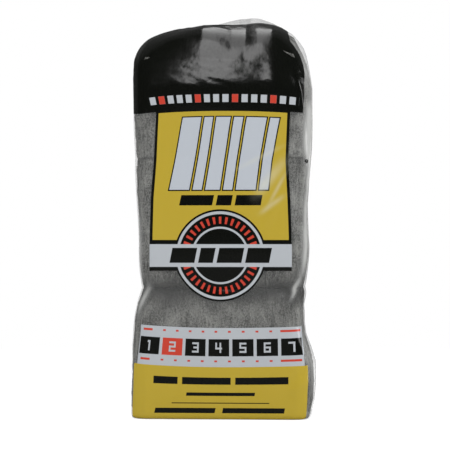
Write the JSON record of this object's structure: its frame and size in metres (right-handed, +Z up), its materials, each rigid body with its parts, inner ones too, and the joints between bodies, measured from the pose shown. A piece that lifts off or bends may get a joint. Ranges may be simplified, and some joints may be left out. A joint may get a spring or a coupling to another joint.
{
  "type": "steel wool pad pack",
  "caption": "Sealed clear film bag printed with plain colour fields, filled with folded steel wool pads in tiers; stands on its flat end.",
  "frame": {"origin": "middle of the flat base that the pack stands on", "axes": "+Z up the height of the pack; -Y out of the printed front; +X to the right of someone facing the front"},
  "size_m": [0.1014, 0.067, 0.2222],
  "materials": {
    "printed_film": "thin clear glossy plastic film, printed on the front in black, yellow, pale grey and red",
    "steel_wool": "very fine dull grey steel fibres, brushed mostly one way"
  },
  "bodies": {
    "root": {"film_bag": "printed_film", "pad_bottom_1": "steel_wool", "pad_bottom_2": "steel_wool", "pad_bottom_3": "steel_wool", "pad_bottom_4": "steel_wool", "pad_middle_1": "steel_wool", "pad_middle_2": "steel_wool", "pad_middle_3": "steel_wool", "pad_middle_4": "steel_wool", "pad_top_1": "steel_wool", "pad_top_2": "steel_wool", "pad_top_3": "steel_wool", "pad_top_4": "steel_wool"}
  },
  "joints": []
}
